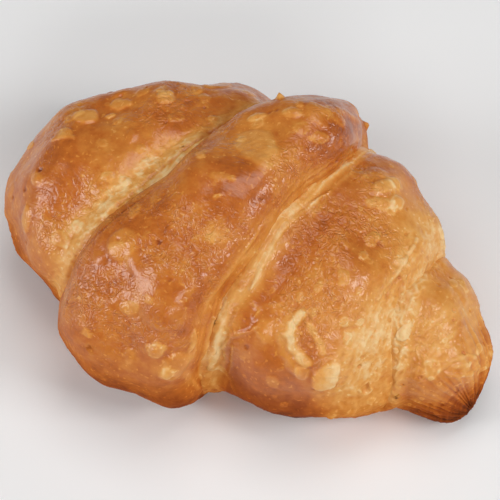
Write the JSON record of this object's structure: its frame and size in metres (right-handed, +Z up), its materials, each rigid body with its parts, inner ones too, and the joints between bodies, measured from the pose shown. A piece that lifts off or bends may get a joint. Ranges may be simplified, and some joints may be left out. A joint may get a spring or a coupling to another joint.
{
  "type": "croissant",
  "caption": "Baked butter croissant with a broad outer wrap over a shoulder on each side, tapering to two rolled tips, on a flat base.",
  "frame": {"origin": "middle of the bounding box, at the flat base", "axes": "+X along the roll towards the larger tip, +Z up from the base, +Y towards the side away from the picture's viewpoint"},
  "size_m": [0.1226, 0.0872, 0.0538],
  "materials": {
    "crust": "egg-washed crust baked orange brown, satin with soft highlights, paler at the blisters and seams"
  },
  "bodies": {
    "root": {"croissant": "crust"}
  },
  "joints": []
}
